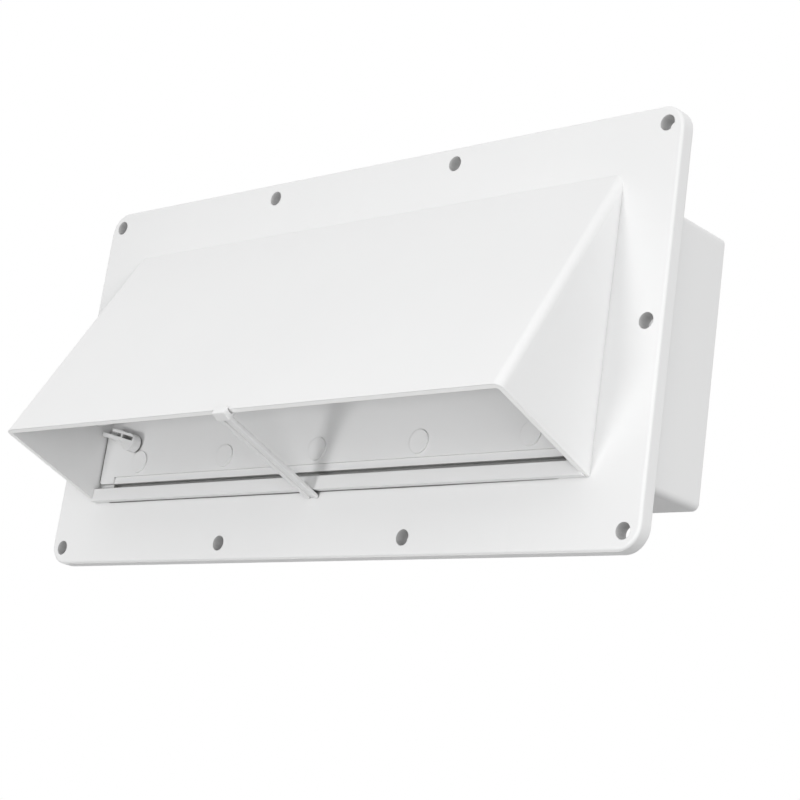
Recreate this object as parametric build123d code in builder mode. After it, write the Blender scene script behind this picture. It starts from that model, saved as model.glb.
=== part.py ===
from build123d import *
from math import atan2, cos, hypot, radians, sin
import os

# Exhaust vent cover for an outside wall. Millimetres.
# Seen from outside, X is to the right, Z is up and -Y points away from the wall. The origin is the
# centre of the screw holes, in the plane of the wall that the flange lies against.

# Flange
flange_width = 340.0
flange_height = 175.0
flange_depth = 6.5
flange_wall = 2.4
flange_corner_radius = 10.0
flange_edge_radius = 1.4
screw_inset = 7.5
screws_per_row = 4
screw_hole_radius = 3.3
screw_boss_wall = 2.0
back_rib_wall = 1.6
back_rib_set_back = 1.0
back_rib_gap = 0.5
side_ribs = 3
side_rib_height = 40.0

# Hood, which is a little narrower than the duct box behind it
hood_step_in = 3.5
hood_reach = 57.0
hood_over_hinge = 14.6
lip_rise = 19.5
hood_wall = 2.4
hood_ridge_radius = 3.5
sill_reach = 3.7
sill_height = 5.8
sill_step = 0.9

# Duct box, and the studs that hold its rim
duct_width = 296.0
duct_height = 114.0
duct_centre = 0.6
duct_depth = 60.0
duct_wall = 2.4
duct_corner_radius = 3.0
duct_mouth_chamfer = 0.8
rim_margin = 7.0
rim_wall = 2.2
rim_corner_radius = 5.0
rim_ledge = 4.5
rim_gap = 0.05
stud_radius = 1.5
stud_head_radius = 2.8
stud_head_tip_radius = 2.0
stud_head_height = 1.0
stud_clearance = 0.1
studs_per_row = 4
stud_inset = 19.0

# Opening in the flange, and the flap that closes it
opening_margin = 9.6
opening_step = 1.4
flap_wall = 2.0
flap_proud = 1.5
flap_side_gap = 0.8
flap_bottom_gap = 1.8
flap_stop_gap = 0.3
wing_gap = 0.3
wing_drop = 2.0
wing_corner_radius = 1.5
flap_toe_height = 3.2
flap_toe_set_back = 0.8
flap_skirt_wall = 1.8
flap_skirt_drop = 5.0
flap_rib_wall = 1.5
flap_rib_depth = 3.2
flap_ribs = 6
flap_rib_inset = 31.7
pad_count = 5
pad_inset = 16.5
pad_radius = 5.0
pad_height = 0.7
pad_rise = 9.6

# Hinge of the flap
hinge_drop = 8.2
bead_radius = 2.0
bead_gap = 0.6
hinge_pin_radius = 1.6
hinge_pin_length = 5.0
hinge_clearance = 0.05
lug_length = 5.4
lug_wall = 1.2
lug_entry_width = 2.6

# Latches, measured from the axis of the hub
latch_inset = 12.1
latch_rise = 18.0
latch_tilt = 14.0
latch_gap = 0.3
latch_lift = 0.8
latch_depth = 4.3
latch_floor = 1.0
hub_radius = 4.0
hub_foot_radius = 3.2
shaft_radius = 2.0
shaft_clearance = 0.05
barb_reach = 0.7
barb_tip_radius = 1.6
barb_gap = 0.2
barb_length = 1.9
barb_slit = 0.8
arm_length = 20.2
arm_upper_length = 13.7
ridge_low = 1.9
ridge_high = 1.3
groove_width = 1.7
groove_start = -2.4
bridge_place = 6.1
bridge_wall = 1.0
arm_tip_radius = 0.6
tab_length = 13.0
tab_depth = 2.2

# Keepers, which the tips of the latches turn behind
keeper_gap = 0.5
keeper_wall = 2.0
keeper_reach = 8.2
keeper_height = 8.0
keeper_rise = 8.5

# Strut
strut_width = 7.2
strut_proud = 3.0
strut_wall = 2.0
strut_ridge_wall = 2.2
strut_groove_depth = 0.9
strut_groove_end = 2.5
strut_gap = 0.1
foot_length = 20.0
foot_reach = 3.4
hook_wall = 1.2
hook_height = 4.5
hook_front_height = 0.8
tongue_width = 5.0
tongue_wall = 1.6

# Distances out from the wall that several pieces share
flange_back = flange_depth - flange_wall
lip_face = flange_depth + hood_reach
sill_face = flange_depth + sill_reach
flap_face = flange_depth + flap_proud
flap_back = flap_face - flap_wall
hinge_face = flap_face - flap_wall / 2
wing_back = flange_depth + wing_gap
rim_face = flange_back - rim_gap
rim_back = rim_face - rim_wall
stop_face = rim_face + flap_stop_gap
hub_back = flap_face + latch_gap
arm_back = hub_back + latch_lift
arm_face = arm_back + latch_depth
barb_face = flap_back - barb_gap
keeper_back = arm_face + keeper_gap

# Inside of the flange's skirt, and the rim of the duct box
skirt_inside_x = flange_width / 2 - flange_wall
skirt_inside_z = flange_height / 2 - flange_wall
rim_width = duct_width + 2 * rim_margin
rim_height = duct_height + 2 * rim_margin

# Opening and flap, whose height follows the duct's
hood_width = duct_width - 2 * hood_step_in
cheek_inside = hood_width / 2 - hood_wall
opening_width = 2 * (cheek_inside - opening_margin)
opening_bottom = duct_centre - duct_height / 2 + duct_wall + opening_step
hinge_height = duct_centre + duct_height / 2 - duct_wall - hinge_drop
opening_top = hinge_height + bead_radius + bead_gap
flap_half = opening_width / 2 - flap_side_gap
flap_bottom = opening_bottom + flap_bottom_gap
flap_rib_bottom = opening_bottom + rim_ledge + flap_bottom_gap
hinge_bore_radius = hinge_pin_radius + hinge_clearance
lug_half = hinge_bore_radius + lug_wall
latch_offset = flap_half - latch_inset
latch_height = flap_bottom + latch_rise
wing_half = cheek_inside - flap_side_gap
wing_top = latch_height + keeper_rise - wing_drop

# Side view of the hood: the slope and the line across its mouth
hood_top = hinge_height + hood_over_hinge
hood_bottom = opening_bottom - sill_step - sill_height
lip_height = hood_bottom + lip_rise
slope_length = hypot(hood_reach, hood_top - lip_height)
slope_angle = atan2(hood_top - lip_height, hood_reach)
mouth_length = hypot(hood_reach, lip_rise)
mouth_angle = atan2(lip_rise, hood_reach)

# Arm of the latch, across its length
ridge_bottom = -ridge_low / 2
groove_bottom = ridge_bottom + ridge_low
groove_top = groove_bottom + groove_width
ridge_top = groove_top + ridge_high

# Strut: its underside, the ends of its groove and of its hook, and its tongue under the sill
strut_under = strut_proud - strut_wall
groove_far_end = mouth_length - strut_groove_end
lip_room = hood_wall + strut_gap
hook_back = lip_room + hook_wall
strut_end_height = hood_bottom - strut_proud / cos(mouth_angle)
tongue_height = (strut_end_height + hood_bottom) / 2


def outward(distance):
    """The plane that lies a distance out from the wall and faces away from it."""
    return Plane.XZ.offset(distance)


def along_hinge():
    """The plane square to the hinge line, with its origin at the middle of the line."""
    return Plane((0, -hinge_face, hinge_height), x_dir=(0, 1, 0), z_dir=(1, 0, 0))


def latch_plane(distance):
    """A plane at the right-hand latch's axis, with its X along the arm, a distance out from the wall."""
    tilt = radians(latch_tilt)
    return Plane((latch_offset, -distance, latch_height), x_dir=(cos(tilt), 0, sin(tilt)), z_dir=(0, -1, 0))


def on_slope(along, out):
    """A point of the side view, measured up the slope from the lip and square out from the slope."""
    back, up = cos(slope_angle), sin(slope_angle)
    return (-lip_face + along * back - out * up, lip_height + along * up + out * back)


def on_mouth(along, out):
    """A point of the side view, measured along the mouth from the flange and square out from it."""
    forward, up = cos(mouth_angle), sin(mouth_angle)
    return (-flange_depth - along * forward - out * up, hood_bottom + along * up - out * forward)


def evenly(count, first):
    """Places in a row from one side to the other, with the first at minus that distance."""
    return [first * (2 * i / (count - 1) - 1) for i in range(count)]


screw_half_x = flange_width / 2 - screw_inset
screw_half_z = flange_height / 2 - screw_inset
screw_half_pitch = screw_half_x / (screws_per_row - 1)
screw_places = [(x, side * screw_half_z) for side in (-1, 1) for x in evenly(screws_per_row, screw_half_x)]
screw_places += [(-screw_half_x, 0), (screw_half_x, 0)]
stud_z = duct_height / 2 + rim_margin / 2
stud_places = [(x, duct_centre + side * stud_z) for side in (-1, 1)
               for x in evenly(studs_per_row, duct_width / 2 - stud_inset)]
pad_places = [(x, flap_bottom + pad_rise) for x in evenly(pad_count, flap_half - pad_inset)]
rib_places = [(x, flap_rib_bottom) for x in evenly(flap_ribs, flap_half - flap_rib_inset)]

os.makedirs("parts", exist_ok=True)

# Hood and flange: one moulding
with BuildPart() as hood_flange:
    # Flange plate with a rounded front edge
    with BuildSketch(Plane.XZ):
        RectangleRounded(flange_width, flange_height, flange_corner_radius)
    extrude(amount=flange_depth)
    fillet(hood_flange.faces().sort_by(Axis.Y)[0].outer_wire().edges(), flange_edge_radius)

    # Hollow back, which leaves a plate and a skirt around it
    with BuildSketch(Plane.XZ):
        RectangleRounded(2 * skirt_inside_x, 2 * skirt_inside_z, flange_corner_radius - flange_wall)
    extrude(amount=flange_back, mode=Mode.SUBTRACT)

    # Sloping hood with its two cheeks, rounded along the ridges, and the hollow inside it
    with BuildPart(mode=Mode.PRIVATE) as wedge:
        with BuildSketch(Plane.YZ):
            with BuildLine():
                Polyline((-flange_back, hood_top), (-flange_depth, hood_top), (-lip_face, lip_height),
                         (-flange_depth, hood_bottom), (-flange_back, hood_bottom), close=True)
            make_face()
        extrude(amount=hood_width / 2, both=True)
        fillet(wedge.edges().filter_by(lambda e: abs(e.length - slope_length) < 0.01), hood_ridge_radius)
    add(wedge.part)
    hollow_length = slope_length + hood_wall
    with BuildPart(mode=Mode.PRIVATE) as hollow:
        with BuildSketch(Plane.YZ):
            with BuildLine():
                Polyline(on_slope(-hood_wall, -hood_wall), on_slope(slope_length, -hood_wall),
                         (-flange_back, hood_top), (-flange_back, hood_bottom - sill_height),
                         (-lip_face, hood_bottom - sill_height), close=True)
            make_face()
        extrude(amount=cheek_inside, both=True)
        fillet(hollow.edges().filter_by(lambda e: abs(e.length - hollow_length) < 0.01),
               hood_ridge_radius - hood_wall)
        with BuildSketch(outward(flange_back)):
            Rectangle(flange_width, flange_height)
        extrude(amount=flange_wall, mode=Mode.SUBTRACT)
    add(hollow.part, mode=Mode.SUBTRACT)

    # Opening for the flap
    with BuildSketch(outward(flange_back)):
        with Locations((0, opening_bottom)):
            Rectangle(opening_width, opening_top - opening_bottom, align=(Align.CENTER, Align.MIN))
    extrude(amount=flange_wall, mode=Mode.SUBTRACT)

    # Sill rail across the mouth, from cheek to cheek
    with BuildSketch(outward(flange_depth)):
        with Locations((0, hood_bottom)):
            Rectangle(2 * cheek_inside + hood_wall, sill_height, align=(Align.CENTER, Align.MIN))
    extrude(amount=sill_reach)

    # Slot for the strut's tongue, under the sill rail
    with BuildSketch(outward(flange_back)):
        with Locations((0, tongue_height)):
            Rectangle(tongue_width + 2 * strut_gap, tongue_wall + 2 * strut_gap)
    extrude(amount=flange_wall, mode=Mode.SUBTRACT)

    # Hinge lugs beside the top of the opening, each with a bore that its entry is narrower than
    with BuildSketch(outward(flange_back)):
        for side in (-1, 1):
            with Locations((side * (opening_width + lug_length) / 2, hinge_height)):
                Rectangle(lug_length, 2 * lug_half)
    extrude(amount=hinge_face + lug_half - flange_back)
    with Locations(along_hinge()):
        Cylinder(hinge_bore_radius, opening_width + 2 * lug_length, mode=Mode.SUBTRACT)
    with BuildSketch(outward(hinge_face)):
        with Locations((0, hinge_height)):
            Rectangle(opening_width + 2 * lug_length, lug_entry_width)
    extrude(amount=lug_half, mode=Mode.SUBTRACT)

    # Keepers on the cheeks
    with BuildSketch(outward(keeper_back)):
        for side in (-1, 1):
            with Locations((side * (cheek_inside - keeper_reach / 2), latch_height + keeper_rise)):
                Rectangle(keeper_reach, keeper_height, align=(Align.CENTER, Align.MIN))
    extrude(amount=keeper_wall)

    # Ribs behind the flange, from its skirt to the rim of the duct box
    with BuildSketch(outward(back_rib_set_back)):
        with Locations(*[(x, 0) for x in evenly(screws_per_row - 1, screw_half_x - screw_half_pitch)]):
            Rectangle(back_rib_wall, 2 * skirt_inside_z)
        with Locations(*[(0, z) for z in evenly(side_ribs, side_rib_height)]):
            Rectangle(2 * skirt_inside_x, back_rib_wall)
        with Locations((0, duct_centre)):
            Rectangle(rim_width + 2 * back_rib_gap, rim_height + 2 * back_rib_gap, mode=Mode.SUBTRACT)
    extrude(amount=flange_back - back_rib_set_back)

    # Screw bosses, which reach back to the wall, and their holes
    with BuildSketch(Plane.XZ):
        with Locations(*screw_places):
            Circle(screw_hole_radius + screw_boss_wall)
    extrude(amount=flange_back)
    with BuildSketch(Plane.XZ):
        with Locations(*screw_places):
            Circle(screw_hole_radius)
    extrude(amount=flange_depth, mode=Mode.SUBTRACT)

    # Headed studs, which hold the rim of the duct box
    with BuildSketch(outward(rim_back - rim_gap)):
        with Locations(*stud_places):
            Circle(stud_radius)
    extrude(amount=flange_back - rim_back + rim_gap)
    with Locations(*[(x, -(rim_back - rim_gap - stud_head_height / 2), z) for x, z in stud_places]):
        Cone(stud_head_radius, stud_head_tip_radius, stud_head_height, rotation=(-90, 0, 0))

# Duct box: a flanged sleeve, open at both ends
with BuildPart() as duct_box:
    with BuildSketch(outward(rim_back)):
        with Locations((0, duct_centre)):
            RectangleRounded(rim_width, rim_height, rim_corner_radius)
    extrude(amount=rim_wall)
    with BuildSketch(outward(rim_back)):
        with Locations((0, duct_centre)):
            RectangleRounded(duct_width, duct_height, duct_corner_radius)
    extrude(amount=-rim_back - duct_depth)
    chamfer(duct_box.faces().sort_by(Axis.Y)[-1].outer_wire().edges(), duct_mouth_chamfer)

    # Bore of the sleeve, which stops at the rim
    with BuildSketch(outward(rim_back)):
        with Locations((0, duct_centre)):
            RectangleRounded(duct_width - 2 * duct_wall, duct_height - 2 * duct_wall,
                             duct_corner_radius - duct_wall)
    extrude(amount=-rim_back - duct_depth, mode=Mode.SUBTRACT)

    # Opening in the rim, smaller than the bore, so that a ledge stands behind the flap's sides and bottom
    with BuildSketch(outward(rim_back)):
        with Locations((0, duct_centre + duct_height / 2 - duct_wall)):
            Rectangle(opening_width - 2 * rim_ledge, duct_height - 2 * duct_wall - opening_step - rim_ledge,
                      align=(Align.CENTER, Align.MAX))
    extrude(amount=rim_wall, mode=Mode.SUBTRACT)

    # Holes for the studs
    with BuildSketch(outward(rim_back)):
        with Locations(*stud_places):
            Circle(stud_radius + stud_clearance)
    extrude(amount=rim_wall, mode=Mode.SUBTRACT)

# Damper flap
with BuildPart() as damper_flap:
    # Panel, and the wings that widen it below the keepers and close against the flange
    with BuildSketch(outward(flap_back)):
        with Locations((0, flap_bottom)):
            Rectangle(2 * flap_half, hinge_height - flap_bottom, align=(Align.CENTER, Align.MIN))
    extrude(amount=flap_wall)
    with BuildSketch(outward(wing_back)):
        with Locations((0, (flap_bottom + wing_top) / 2)):
            RectangleRounded(2 * wing_half, wing_top - flap_bottom, wing_corner_radius)
    extrude(amount=flap_face - wing_back)

    # Set-back toe along the bottom edge, between the wings
    with BuildSketch(outward(flap_face - flap_toe_set_back)):
        with Locations((0, flap_bottom)):
            Rectangle(2 * flap_half, flap_toe_height, align=(Align.CENTER, Align.MIN))
    extrude(amount=flap_toe_set_back, mode=Mode.SUBTRACT)

    # Skirt behind the sides and the bottom, which comes to rest on the rim's ledges
    with BuildSketch(outward(stop_face)):
        for side in (-1, 1):
            with Locations((side * (flap_half - flap_skirt_wall / 2), flap_bottom)):
                Rectangle(flap_skirt_wall, hinge_height - flap_skirt_drop - flap_bottom,
                          align=(Align.CENTER, Align.MIN))
        with Locations((0, flap_bottom)):
            Rectangle(2 * flap_half, flap_skirt_wall, align=(Align.CENTER, Align.MIN))
    extrude(amount=flap_back - stop_face)

    # Stiffening ribs behind the panel, above the rim's bottom ledge
    with BuildSketch(outward(flap_back - flap_rib_depth)):
        with Locations(*rib_places):
            Rectangle(flap_rib_wall, hinge_height - flap_rib_bottom, align=(Align.CENTER, Align.MIN))
    extrude(amount=flap_rib_depth)

    # Round pads in a row above the toe
    with BuildSketch(outward(flap_face)):
        with Locations(*pad_places):
            Circle(pad_radius)
    extrude(amount=pad_height)

    # Bead along the hinge line, and the pin at each end of it
    with Locations(along_hinge()):
        Cylinder(bead_radius, 2 * flap_half)
        Cylinder(hinge_pin_radius, 2 * (flap_half + hinge_pin_length))

    # Holes for the shafts of the latches
    with BuildSketch(outward(flap_back)):
        with Locations((-latch_offset, latch_height), (latch_offset, latch_height)):
            Circle(shaft_radius + shaft_clearance)
    extrude(amount=flap_wall, mode=Mode.SUBTRACT)

# Right-hand latch: a hub on the flap, and a grooved arm that points at the cheek
with BuildPart() as latch_right:
    with BuildSketch(latch_plane(arm_back)):
        with BuildLine():
            Polyline((0, ridge_bottom), (arm_length, ridge_bottom), (arm_length, groove_bottom),
                     (arm_upper_length, groove_bottom), (arm_upper_length, ridge_top),
                     (0, ridge_top), close=True)
        face = make_face()
        fillet(face.vertices(), arm_tip_radius)
        Circle(hub_radius)
    extrude(amount=latch_depth)

    # Thumb tab below the arm, thinner than the arm
    with BuildSketch(latch_plane(arm_back)):
        with BuildLine():
            Polyline((0, -hub_radius), (tab_length, ridge_bottom), (0, ridge_bottom), close=True)
        make_face()
    extrude(amount=tab_depth)

    # Groove between the two ridges, open at the tip and crossed by a bridge
    with BuildSketch(latch_plane(arm_back + latch_floor)):
        with Locations((groove_start, groove_bottom)):
            Rectangle(arm_length - groove_start, groove_width, align=(Align.MIN, Align.MIN))
        with Locations((bridge_place, groove_bottom)):
            Rectangle(bridge_wall, groove_width, align=(Align.CENTER, Align.MIN), mode=Mode.SUBTRACT)
    extrude(amount=latch_depth, mode=Mode.SUBTRACT)

    # Foot of the hub, and the shaft that goes through the flap and ends in a split barb
    with BuildSketch(latch_plane(hub_back)):
        Circle(hub_foot_radius)
    extrude(amount=latch_lift)
    with BuildSketch(latch_plane(barb_face - barb_length)):
        Circle(shaft_radius)
    extrude(amount=hub_back - barb_face + barb_length)
    with Locations(latch_plane(barb_face - barb_length / 2)):
        Cone(barb_tip_radius, shaft_radius + barb_reach, barb_length)
    with BuildSketch(latch_plane(barb_face - barb_length)):
        Rectangle(barb_slit, 3 * shaft_radius)
    extrude(amount=barb_length + flap_wall, mode=Mode.SUBTRACT)

with BuildPart() as latch_left:
    mirror(latch_right.part, about=Plane.YZ)

# Strut from the lip of the hood to the flange, in front of the mouth
with BuildPart() as centre_strut:
    with BuildSketch(Plane.YZ):
        # Bar along the mouth, which deepens to a foot on the sill rail and is cut off at the flange
        with BuildLine():
            Polyline(on_mouth(-strut_proud, strut_proud), on_mouth(mouth_length, strut_proud),
                     on_mouth(mouth_length, strut_under), on_mouth(foot_length, strut_under),
                     on_mouth(sill_reach, -foot_reach), on_mouth(-strut_proud, -foot_reach), close=True)
        make_face()
        with Locations((-flange_depth - strut_gap, hood_bottom)):
            Rectangle(2 * strut_proud, 4 * strut_proud, align=(Align.MIN, Align.CENTER), mode=Mode.SUBTRACT)
        # Hook around the lip
        with BuildLine():
            Polyline(on_slope(-strut_proud, hook_wall), on_slope(hook_front_height, hook_wall),
                     on_slope(hook_front_height, strut_gap), on_slope(-strut_gap, strut_gap),
                     on_slope(-strut_gap, -lip_room), on_slope(hook_height, -lip_room),
                     on_slope(hook_height, -hook_back), on_slope(-strut_proud, -hook_back), close=True)
        make_face()
        # Room for the lip and for the sill rail
        with BuildLine():
            Polyline(on_slope(-strut_gap, strut_gap), on_slope(hook_height, strut_gap),
                     on_slope(hook_height, -lip_room), on_slope(-strut_gap, -lip_room), close=True)
        make_face(mode=Mode.SUBTRACT)
        with Locations((-sill_face - strut_gap, hood_bottom - strut_gap)):
            Rectangle(2 * sill_reach, 2 * sill_height, align=(Align.MIN, Align.MIN), mode=Mode.SUBTRACT)
    extrude(amount=strut_width / 2, both=True)

    # Groove between the two ridges of the outer face
    with BuildSketch(Plane.YZ):
        with BuildLine():
            Polyline(on_mouth(-strut_proud, strut_proud), on_mouth(groove_far_end, strut_proud),
                     on_mouth(groove_far_end, strut_proud - strut_groove_depth),
                     on_mouth(-strut_proud, strut_proud - strut_groove_depth), close=True)
        make_face()
    extrude(amount=strut_width / 2 - strut_ridge_wall, both=True, mode=Mode.SUBTRACT)

    # Tongue in the flange's slot
    with BuildSketch(outward(flange_back)):
        with Locations((0, tongue_height)):
            Rectangle(tongue_width, tongue_wall)
    extrude(amount=flange_wall + 2 * strut_gap)

hood_flange.part.label = "hood_flange"
duct_box.part.label = "duct_box"
damper_flap.part.label = "damper_flap"
latch_left.part.label = "latch_left"
latch_right.part.label = "latch_right"
centre_strut.part.label = "centre_strut"

export_step(hood_flange.part, "parts/hood_flange.step")
export_step(duct_box.part, "parts/duct_box.step")
export_step(damper_flap.part, "parts/damper_flap.step")
export_step(latch_left.part, "parts/latch_left.step")
export_step(latch_right.part, "parts/latch_right.step")
export_step(centre_strut.part, "parts/centre_strut.step")
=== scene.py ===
import math
import bmesh
import bpy
from mathutils import Matrix, Vector


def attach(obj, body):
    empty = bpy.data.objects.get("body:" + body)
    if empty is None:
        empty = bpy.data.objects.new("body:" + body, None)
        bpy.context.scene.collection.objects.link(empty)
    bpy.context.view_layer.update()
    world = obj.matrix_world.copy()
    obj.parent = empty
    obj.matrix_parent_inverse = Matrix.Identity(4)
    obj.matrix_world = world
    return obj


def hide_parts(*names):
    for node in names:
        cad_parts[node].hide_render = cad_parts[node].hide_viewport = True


# Exhaust vent cover in white moulded plastic: finishes, light and camera around the fixed frame.
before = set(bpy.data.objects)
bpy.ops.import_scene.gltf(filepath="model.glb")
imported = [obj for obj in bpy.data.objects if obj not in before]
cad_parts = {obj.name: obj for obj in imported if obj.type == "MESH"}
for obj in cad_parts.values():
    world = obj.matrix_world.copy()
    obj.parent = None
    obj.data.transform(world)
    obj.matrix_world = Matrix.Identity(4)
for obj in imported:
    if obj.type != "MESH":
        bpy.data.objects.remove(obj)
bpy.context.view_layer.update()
print("frame loaded:", ", ".join(sorted(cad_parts)))


class Wire:  # one shader socket, with arithmetic on it
    def __init__(self, look, socket):
        self.look = look
        self.socket = socket

    def math(self, operation, *others):
        return self.look.node("Math", {"operation": operation}, dict(enumerate((self, *others))))

    def above(self, limit):
        return self.math("GREATER_THAN", limit)

    def __add__(self, other):
        return self.math("ADD", other)

    def __sub__(self, other):
        return self.math("SUBTRACT", other)

    def __rsub__(self, other):
        return self.look.node("Math", {"operation": "SUBTRACT"}, {0: other, 1: self})

    def __mul__(self, other):
        return self.math("MULTIPLY", other)

    def __abs__(self):
        return self.math("ABSOLUTE")

    __radd__ = __add__
    __rmul__ = __mul__


class Look:  # a material or world, and its nodes
    def __init__(self, owner):
        owner.use_nodes = True
        self.owner = owner
        self.nodes = owner.node_tree.nodes
        self.links = owner.node_tree.links
        self.nodes.clear()

    def node(self, kind, settings=None, sockets=None, out=0):
        made = self.nodes.new("ShaderNode" + kind)
        for name, value in (settings or {}).items():
            setattr(made, name, value)
        for name, value in (sockets or {}).items():
            if isinstance(value, Wire):
                self.links.new(value.socket, made.inputs[name])
            else:
                made.inputs[name].default_value = value
        return Wire(self, made.outputs[out]) if made.outputs else made

    def several(self, kind, outs, sockets=None):  # a node with several outputs in use
        made = self.node(kind, None, sockets).socket.node
        return [Wire(self, made.outputs[out]) for out in outs]

    def mix(self, factor, first, second):  # between two colours
        return self.node("Mix", {"data_type": "RGBA"}, {0: factor, 6: first, 7: second}, out=2)

    def place(self):  # where on the object a point is, in metres in the frame
        return self.node("TexCoord", out="Object")

    def apart(self, vector):  # the x, y and z of a vector
        return self.several("SeparateXYZ", range(3), {0: vector})

    def noise(self, size, detail=2.0, roughness=0.5, stretch=(1, 1, 1)):  # features of that size in metres
        place = self.node("Mapping", None, {"Vector": self.place(), "Scale": stretch})
        return self.node("TexNoise", {"noise_dimensions": "3D"},
                         {"Vector": place, "Scale": 1 / size, "Detail": detail, "Roughness": roughness})

    def ramp(self, value, start, end, low=0.0, high=1.0, kind="SMOOTHSTEP"):  # low at start, high at end
        return self.node("MapRange", {"interpolation_type": kind},
                         {"Value": value, "From Min": start, "From Max": end, "To Min": low, "To Max": high})

    def near(self, distance, inner, outer):  # 1 within the inner distance, 0 beyond the outer one
        return self.ramp(distance, inner, outer, 1.0, 0.0)

    def facing(self, sign, limit=0.7):  # 1 on faces that look along y, or against it for a sign of -1
        return (self.apart(self.node("NewGeometry", out="Normal"))[1] * sign).above(limit)

    def outward(self):  # away from the wall
        return self.facing(-1.0)

    def wallward(self):
        return self.facing(1.0)


def gray(level):
    return (level, level, level, 1)


# Moulded plastic: satin white, with slow waves from cooling, a fine grain and painted shade in its crevices
plastic = dict(
    white=(0.835, 0.836, 0.835),
    shade=(0.80, 0.802, 0.803),
    shadePatch=0.09,
    roughness=0.40,
    roughnessSwing=0.10,
    roughnessPatch=0.035 / 3,
    wave=0.035,
    waveDepth=0.00005,
    grain=0.0009,
    grainDepth=0.000010,
    edgeRadius=0.0004,
    edgeSamples=4,
    specular=0.42,
    paintedCreviceShade=(0.27, 0.27, 0.265, 1),
    creviceReach=0.0035,
    creviceShut=0.22,
    creviceOpen=0.60,
    creviceSamples=8,
    pinEdge=0.93,
)


def paintedShadeInGaps(look, reach, shut, clear):  # painted shade mask: 0 on open faces, 1 deep in narrow gaps, where little light gets in
    openness = look.node("AmbientOcclusion", {"samples": plastic["creviceSamples"]}, {"Distance": reach},
                         out="AO")
    return look.near(openness, shut, clear)


def plasticBase(look, tint, paintedShadeShare=1.0):  # the look that all the mouldings share: colour with painted shade in its crevices, roughness, height
    patches = look.noise(plastic["shadePatch"], detail=3)
    dull = look.noise(plastic["roughnessPatch"], detail=4)
    waves = look.noise(plastic["wave"], detail=1)
    grain = look.noise(plastic["grain"], detail=1)
    white, shade = [tuple(c * tint for c in plastic[name]) + (1,) for name in ("white", "shade")]
    # painted shade: the colour darkens deep in narrow gaps and corners, where little light gets in
    paintedShade = paintedShadeInGaps(look, plastic["creviceReach"], plastic["creviceShut"], plastic["creviceOpen"])
    colour = look.mix(paintedShade * paintedShadeShare, look.mix(patches, white, shade), plastic["paintedCreviceShade"])
    roughness = plastic["roughness"] + plastic["roughnessSwing"] * (dull - 0.5)
    height = waves * plastic["waveDepth"] + grain * plastic["grainDepth"]
    return colour, roughness, height


def plasticOut(look, colour, roughness, height):
    softEdges = look.node("Bevel", {"samples": plastic["edgeSamples"]}, {"Radius": plastic["edgeRadius"]})
    bump = look.node("Bump", None, {"Height": height, "Distance": 1.0, "Normal": softEdges})
    shader = look.node("BsdfPrincipled", None, {
        "Base Color": colour,
        "Roughness": roughness,
        "Specular IOR Level": plastic["specular"],
        "Normal": bump,
    })
    look.node("OutputMaterial", None, {"Surface": shader})
    return look.owner


def pinMarks(look, moulding):  # rows of round ejector pin marks, on the faces that look at the wall
    x, z = [axis.math("PINGPONG", moulding["pinPitch"] / 2) for axis in look.apart(look.place())[::2]]
    away = (x * x + z * z).math("SQRT")
    radius = moulding["pinRadius"]
    return look.near(away, radius * plastic["pinEdge"], radius) * look.wallward()


def dress(node, material):  # gives a node of the frame its finish
    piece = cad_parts[node]
    piece.data.materials.clear()
    piece.data.materials.append(material)


# Hood and flange: a painted shade line under the sill rail, sinks over the back ribs, painted shade in the
# screw holes, a crowned mouth rim painted lighter
hood = dict(
    tint=1.0,
    # the seam numbers place a painted shade line below the sill rail
    seamHeight=-0.0593,
    seamHalf=0.00042,
    seamStart=-0.1345,
    seamEnd=0.131,
    seamFade=0.002,
    seamFront=-0.0072,
    seamSharpness=6000,
    seamWander=0.03,
    seamNarrow=0.65,
    seamSwing=0.7,
    seamThinFrom=0.07,
    seamThinTo=0.3,
    paintedSeamShade=(0.16, 0.16, 0.155, 1),
    sinkDepth=0.00005,
    sinkWidth=0.0022,
    ribsAcross=(-0.10833, 0.0, 0.10833),
    ribsUp=(-0.040, 0.0, 0.040),
    clearHalf=(0.149, 0.066),
    holeReach=0.009,
    holeShut=0.25,
    holeOpen=0.85,
    holeShadeColour=(0.36, 0.36, 0.36, 1),
    rimFacing=(0.0, -0.324, -0.946),
    rimMatch=0.97,
    rimCrown=1.1,
    rimPaintedLight=(0.95, 0.95, 0.945, 1),
    pinPitch=0.056,
    pinRadius=0.0032,
    pinDepth=0.00008,
    pinDull=0.08,
)


def paintedShadeUnderSill(look, x, y, z):  # painted shade: a fine dark line below the sill rail, thinner to the right
    wander = look.noise(hood["seamWander"], detail=2)
    thin = look.ramp(x, hood["seamThinFrom"], hood["seamEnd"], 1.0, hood["seamThinTo"], kind="LINEAR")
    half = hood["seamHalf"] * (hood["seamNarrow"] + hood["seamSwing"] * wander) * thin
    line = (half - abs(z - hood["seamHeight"])) * hood["seamSharpness"]
    middle = (hood["seamStart"] + hood["seamEnd"]) / 2
    halfLength = hood["seamEnd"] - middle
    ends = look.near(abs(x - middle), halfLength - hood["seamFade"], halfLength)
    return line.math("MAXIMUM", 0.0).math("MINIMUM", 1.0) * ends * y.above(hood["seamFront"])


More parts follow.
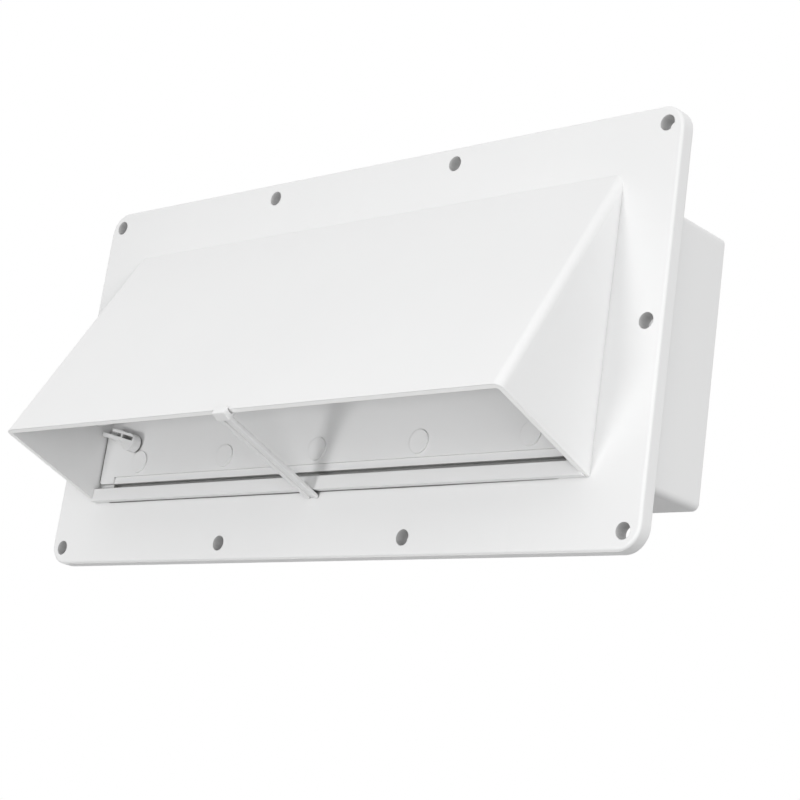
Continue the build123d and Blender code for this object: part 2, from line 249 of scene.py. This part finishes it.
def hoodPlastic():
    look = Look(bpy.data.materials.new("hoodPlastic"))
    colour, roughness, height = plasticBase(look, hood["tint"])
    x, y, z = look.apart(look.place())
    # painted shade: a fine dark line where the sill rail meets the flange
    colour = look.mix(paintedShadeUnderSill(look, x, y, z), colour, hood["paintedSeamShade"])

    # shallow sinks on the flange's front, over the ribs behind it
    beside, above = [abs(axis).above(limit) for axis, limit in zip((x, z), hood["clearHalf"])]
    sinks = 0.0
    for axis, places, part in ((x, hood["ribsAcross"], above), (z, hood["ribsUp"], beside)):
        for place in places:
            sinks = look.near(abs(axis - place), 0.0, hood["sinkWidth"]) * part + sinks
    height = height - sinks * hood["sinkDepth"] * look.outward()

    # painted shade on the walls of the screw holes, which lie in their own shade
    sideways = 1 - look.wallward() - look.outward()
    holeShade = paintedShadeInGaps(look, hood["holeReach"], hood["holeShut"], hood["holeOpen"]) * sideways
    colour = look.mix(holeShade * beside.math("MAXIMUM", above), colour, hood["holeShadeColour"])

    pins = pinMarks(look, hood)
    height = height - pins * hood["pinDepth"]

    # the rim of the mouth: crowned, so it catches light from in front, and painted lighter as a painted
    # highlight
    normal = look.node("NewGeometry", out="True Normal")
    match = look.node("VectorMath", {"operation": "DOT_PRODUCT"}, {0: normal, 1: hood["rimFacing"]},
                      out="Value")
    rim = match.above(hood["rimMatch"])
    height = height + y * hood["rimCrown"] * rim
    colour = look.mix(rim, colour, hood["rimPaintedLight"])
    return plasticOut(look, colour, roughness + pins * hood["pinDull"], height)


# Duct box: drag lines along the way it left the mould
duct = dict(
    tint=0.995,
    dragSize=0.0016,
    dragStretch=(1.0, 0.03, 1.0),
    dragDepth=0.000012,
    dragDull=0.10,
    pinPitch=0.049,
    pinRadius=0.003,
    pinDepth=0.00008,
)

# Flap: flow lines from its middle, and a slightly lighter tint as painted light
flap = dict(
    # the tint above 1 paints light onto the flap, which sits in the hood's shade
    tint=1.02,
    dragSize=0.004,
    dragStretch=(0.12, 1.0, 1.0),
    dragDepth=0.000014,
    dragDull=0.06,
    pinPitch=0.047,
    pinRadius=0.0028,
    pinDepth=0.00007,
)


def draggedPlastic(name, moulding):  # streaks one way, and pin marks behind
    look = Look(bpy.data.materials.new(name))
    colour, roughness, height = plasticBase(look, moulding["tint"])
    drag = look.noise(moulding["dragSize"], detail=2, stretch=moulding["dragStretch"])
    height = height + drag * moulding["dragDepth"] - pinMarks(look, moulding) * moulding["pinDepth"]
    return plasticOut(look, colour, roughness + moulding["dragDull"] * (drag - 0.5), height)


# Latches and strut: small mouldings, a little glossier, and scuffed in places
smallParts = dict(
    tint=1.0,
    # painted shade: how much the crevices of the latches and the strut are darkened
    latchPaintedShade=1.0,
    strutPaintedShade=0.7,
    gloss=-0.03,
    speckSize=0.0022,
    speckDepth=0.000012,
    scuffSize=0.0035,
    scuffRoughness=0.65,
    scuffFull=0.36,
    scuffNone=0.44,
    scuffDull=0.14,
)


def smallPlastic(name, paintedShadeShare):
    look = Look(bpy.data.materials.new(name))
    colour, roughness, height = plasticBase(look, smallParts["tint"], paintedShadeShare)
    speck = look.noise(smallParts["speckSize"], detail=3)
    scuff = look.noise(smallParts["scuffSize"], detail=5, roughness=smallParts["scuffRoughness"])
    rubbed = look.near(scuff, smallParts["scuffFull"], smallParts["scuffNone"])
    roughness = roughness + smallParts["gloss"] + rubbed * smallParts["scuffDull"]
    return plasticOut(look, colour, roughness, height + speck * smallParts["speckDepth"])


dress("hood_flange", hoodPlastic())
dress("duct_box", draggedPlastic("ductPlastic", duct))
dress("damper_flap", draggedPlastic("flapPlastic", flap))
latchPlastic = smallPlastic("latchPlastic", smallParts["latchPaintedShade"])
dress("latch_left", latchPlastic)
dress("latch_right", latchPlastic)
print("finishes done")

# Strut: a grooved bar in front of the mouth, a hook round the hood's lip and a tongue under the sill rail, in
# millimetres. Foot, lip and top are the ends of the mouth and of the slope in the side view, as y and z. The
# bar is measured along the mouth from the foot, and the hook along the slope from the lip and out from it.
strut = dict(
    foot=(-6.5, -59.3),
    lip=(-63.5, -39.8),
    top=(-6.5, 61.6),
    halfWidth=3.5,
    proud=3.0,
    under=1.0,
    underAtSill=1.35,
    sillEnd=8.0,
    thinFrom=20.0,
    ridgeWall=2.2,
    grooveDepth=1.1,
    grooveEnd=2.5,
    flangeGap=0.1,
    hook=((-3.0, 1.2), (0.8, 1.2), (0.8, 0.1), (-0.1, 0.1),
          (-0.1, -2.5), (4.5, -2.5), (4.5, -3.7), (-3.0, -3.7)),
    hookHalfWidth=3.65,
    tongue=((-6.9, -61.7), (-4.1, -61.7), (-4.1, -60.1), (-6.9, -60.1)),
    tongueHalfWidth=2.5,
    softEdge=0.45,
    softEdgeSteps=3,
)


def fromLine(start, end, along, out):  # a point so far along a line in the side view, and out from it
    length = math.dist(start, end)
    forward, up = (end[0] - start[0]) / length, (end[1] - start[1]) / length
    return start[0] + along * forward - out * up, start[1] + along * up + out * forward


def skinSections(mesh, sections):  # closed skin over equal rings of points in millimetres
    rings = [[mesh.verts.new(Vector(point) / 1000) for point in section] for section in sections]
    count = len(rings[0])
    for near, far in zip(rings, rings[1:]):
        for i in range(count):
            j = (i + 1) % count
            mesh.faces.new((near[i], near[j], far[j], far[i]))
    mesh.faces.new(list(reversed(rings[0])))
    mesh.faces.new(rings[-1])


def skinAcross(mesh, halfWidth, outline):  # a block with that outline in the side view
    skinSections(mesh, [[(x, y, z) for y, z in outline] for x in (-halfWidth, halfWidth)])


def makeBar(mesh):
    foot, lip = strut["foot"], strut["lip"]
    length = math.dist(foot, lip)
    reach, rise = (foot[0] - lip[0]) / length, (lip[1] - foot[1]) / length
    half, groove, proud = strut["halfWidth"], strut["halfWidth"] - strut["ridgeWall"], strut["proud"]
    floor = proud - strut["grooveDepth"]

    def atFlange(out):  # cuts the bar off flat in front of the flange
        return (strut["flangeGap"] - out * rise) / reach

    def section(under, startAt):  # startAt gives the place along the bar, by how far out a point lies
        outline = ((-half, under), (-half, proud), (-groove, proud), (-groove, floor),
                   (groove, floor), (groove, proud), (half, proud), (half, under))
        return [(x, *fromLine(foot, lip, startAt(out), out)) for x, out in outline]

    skinSections(mesh, [
        section(strut["underAtSill"], atFlange),
        section(strut["underAtSill"], lambda out: strut["sillEnd"]),
        section(strut["under"], lambda out: strut["thinFrom"]),
        section(strut["under"], lambda out: length - strut["grooveEnd"]),
    ])


def makeStrut():
    mesh = bmesh.new()
    makeBar(mesh)
    skinAcross(mesh, strut["hookHalfWidth"],
               [fromLine(strut["lip"], strut["top"], along, out) for along, out in strut["hook"]])
    skinAcross(mesh, strut["tongueHalfWidth"], strut["tongue"])
    bmesh.ops.recalc_face_normals(mesh, faces=mesh.faces)
    data = bpy.data.meshes.new("strutPiece")
    mesh.to_mesh(data)
    mesh.free()
    piece = bpy.data.objects.new("strutPiece", data)
    bpy.context.collection.objects.link(piece)
    edges = piece.modifiers.new("softEdges", "BEVEL")
    edges.width = strut["softEdge"] / 1000
    edges.segments = strut["softEdgeSteps"]
    edges.limit_method = "ANGLE"
    piece.data.materials.append(smallPlastic("strutPlastic", smallParts["strutPaintedShade"]))
    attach(piece, "body")
    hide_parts("centre_strut")


makeStrut()
print("strut done")

# Studio: a pale floor well below the cover, even light from above, three soft lamps in front and one behind
studio = dict(
    floorHeight=-1.05,
    floorRadius=3.2,
    floorSides=96,
    floorGray=0.93,
    floorBounce=0.35,
    floorFade=0.15,
    sky=0.855,
    skyEdge=0.06,
    lamps=dict(
        key=dict(place=(-0.2877, -1.6318, -0.7033), size=0.5, watts=9.7),
        right=dict(place=(1.32, -1.13, -0.48), size=1.1, watts=12.2),
        side=dict(place=(1.634, -0.595, 0.466), size=0.9, watts=3.8),
        behind=dict(place=(-0.25, 1.75, 0.35), size=1.2, watts=6.0),
    ),
)


def paleFloor():  # pale where it is seen, darker where it lights the cover, and fading out to its edge
    look = Look(bpy.data.materials.new("paleFloor"))
    shown = look.node("BsdfDiffuse", None, {"Color": gray(studio["floorGray"])})
    bounce = look.node("BsdfDiffuse", None, {"Color": gray(studio["floorBounce"])})
    clear = look.node("BsdfTransparent")
    seen = look.node("LightPath", out="Is Camera Ray")
    pale = look.node("MixShader", None, {0: seen, 1: bounce, 2: shown})
    away = look.node("VectorMath", {"operation": "LENGTH"}, {0: look.place()}, out="Value")
    fade = look.ramp(away, studio["floorRadius"] * studio["floorFade"], studio["floorRadius"])
    surface = look.node("MixShader", None, {0: fade, 1: pale, 2: clear})
    look.node("OutputMaterial", None, {"Surface": surface})
    return look.owner


def makeFloor():
    bpy.ops.mesh.primitive_circle_add(vertices=studio["floorSides"], radius=studio["floorRadius"],
                                      fill_type="NGON", location=(0, 0, studio["floorHeight"]))
    floor = bpy.context.object
    floor.name = "floor"
    floor.data.materials.append(paleFloor())


def makeWorld():  # white where it is seen or mirrored, and otherwise light from above only
    world = bpy.data.worlds.new("studioWorld")
    bpy.context.scene.world = world
    look = Look(world)
    rays = ("Is Camera Ray", "Is Glossy Ray", "Is Transmission Ray")
    camera, glossy, through = look.several("LightPath", rays)
    seen = camera.math("MAXIMUM", glossy).math("MAXIMUM", through)
    height = look.apart(look.node("TexCoord", out="Generated"))[2]
    sky = look.ramp(height, -studio["skyEdge"], studio["skyEdge"])
    strength = seen + studio["sky"] * sky * (1 - seen)
    backdrop = look.node("Background", None, {"Color": gray(1), "Strength": strength})
    look.node("OutputWorld", None, {"Surface": backdrop})


def makeLamp(name, place, size, watts):  # a round soft lamp that looks at the middle of the cover
    lamp = bpy.data.lights.new(name, "AREA")
    lamp.shape = "DISK"
    lamp.size = size
    lamp.energy = watts
    stand = bpy.data.objects.new(name, lamp)
    stand.location = place
    stand.rotation_mode = "QUATERNION"
    stand.rotation_quaternion = (-Vector(place)).to_track_quat("-Z", "Y")
    bpy.context.collection.objects.link(stand)


makeFloor()
makeWorld()
for name, lamp in studio["lamps"].items():
    makeLamp(name, **lamp)
print("studio done")

# Camera where the photograph was taken: low, to the right, and rolled a little
photoCamera = dict(
    place=(0.6013, -0.5819, -0.2270),
    aim=(0.0291, 0.0, 0.0155),
    rollDegrees=8.325,
    lens=91.06,
    shift=(0.0, -0.1),
)


def makeCamera():
    lens = bpy.data.cameras.new("photoCamera")
    lens.lens = photoCamera["lens"]
    lens.sensor_fit = "HORIZONTAL"
    lens.shift_x, lens.shift_y = photoCamera["shift"]
    camera = bpy.data.objects.new("photoCamera", lens)
    place = Vector(photoCamera["place"])
    turn = (Vector(photoCamera["aim"]) - place).to_track_quat("-Z", "Y").to_matrix().to_4x4()
    roll = Matrix.Rotation(math.radians(photoCamera["rollDegrees"]), 4, "Z")
    camera.matrix_world = Matrix.Translation(place) @ turn @ roll
    bpy.context.collection.objects.link(camera)
    bpy.context.scene.camera = camera


makeCamera()
bpy.context.scene.view_settings.view_transform = "Standard"
print("camera done")
